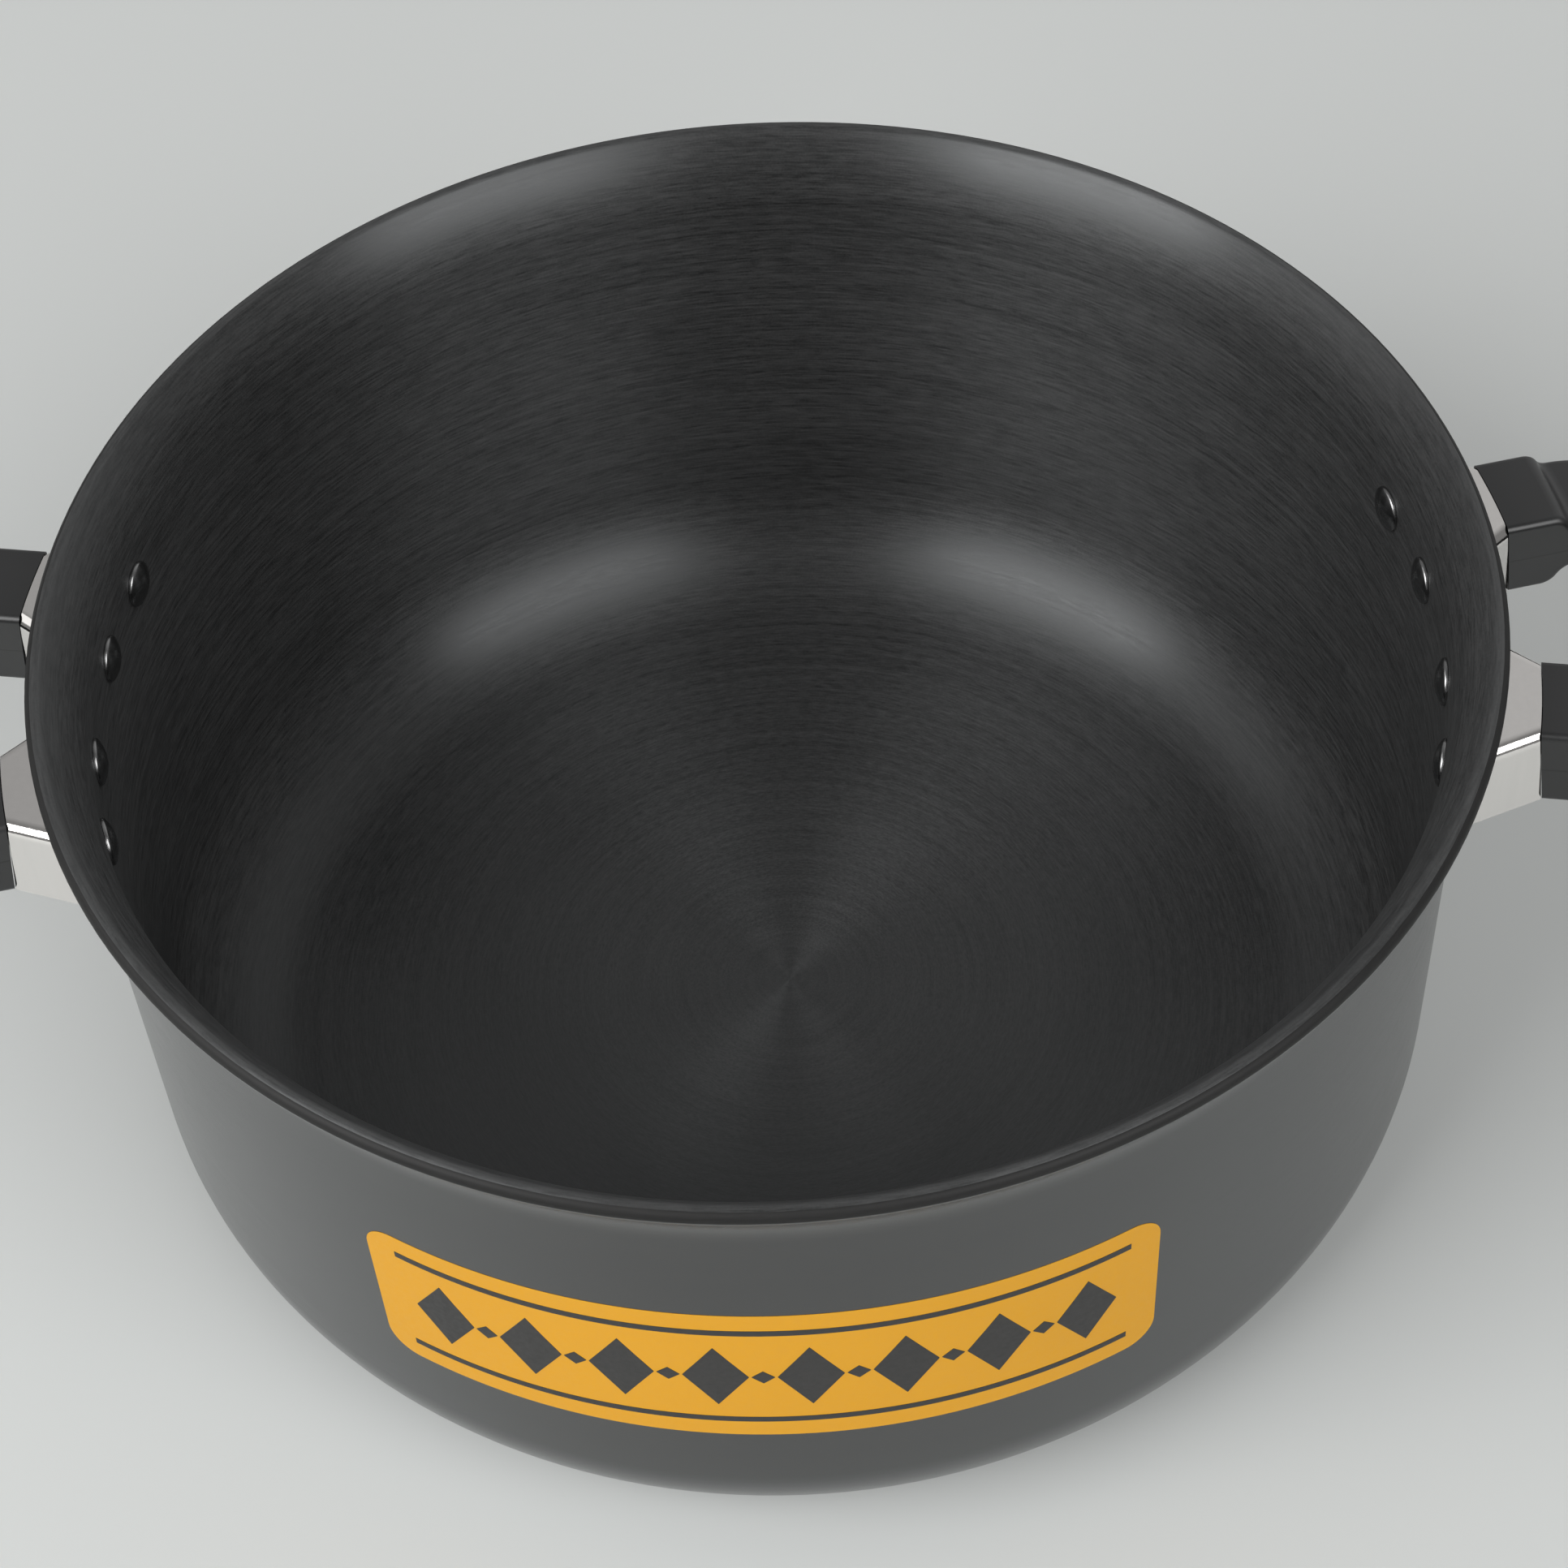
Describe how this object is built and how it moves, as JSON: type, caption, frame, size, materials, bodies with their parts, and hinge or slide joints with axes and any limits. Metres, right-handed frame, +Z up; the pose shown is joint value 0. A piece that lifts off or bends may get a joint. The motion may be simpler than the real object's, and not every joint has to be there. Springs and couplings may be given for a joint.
{
  "type": "open cooking pot",
  "caption": "Deep round hard-anodised cooking pot, open at the top, with a flared lip and a riveted loop handle with a dark moulded grip on each side.",
  "frame": {"origin": "middle of the base, on the surface the pot stands on", "axes": "+X to the right handle, +Z up along the pot's axis, -Y is the front"},
  "size_m": [0.358, 0.27, 0.1228],
  "materials": {
    "pot_shell": "hard anodised, spun satin, dark grey",
    "bracket_steel": "polished stainless steel",
    "rivet_metal": "bright, lightly worn",
    "grip_phenolic": "moulded phenolic, satin black",
    "screw_steel": "plain steel",
    "insert_brass": "turned brass"
  },
  "bodies": {
    "root": {"pot_body": "pot_shell", "right_front_bracket": "bracket_steel", "right_front_rivet_1": "rivet_metal", "right_front_rivet_2": "rivet_metal", "right_front_screw": "screw_steel", "right_front_insert": "insert_brass", "right_rear_bracket": "bracket_steel", "right_rear_rivet_1": "rivet_metal", "right_rear_rivet_2": "rivet_metal", "right_rear_screw": "screw_steel", "right_rear_insert": "insert_brass", "left_front_bracket": "bracket_steel", "left_front_rivet_1": "rivet_metal", "left_front_rivet_2": "rivet_metal", "left_front_screw": "screw_steel", "left_front_insert": "insert_brass", "left_rear_bracket": "bracket_steel", "left_rear_rivet_1": "rivet_metal", "left_rear_rivet_2": "rivet_metal", "left_rear_screw": "screw_steel", "left_rear_insert": "insert_brass", "right_grip": "grip_phenolic", "left_grip": "grip_phenolic"}
  },
  "joints": []
}
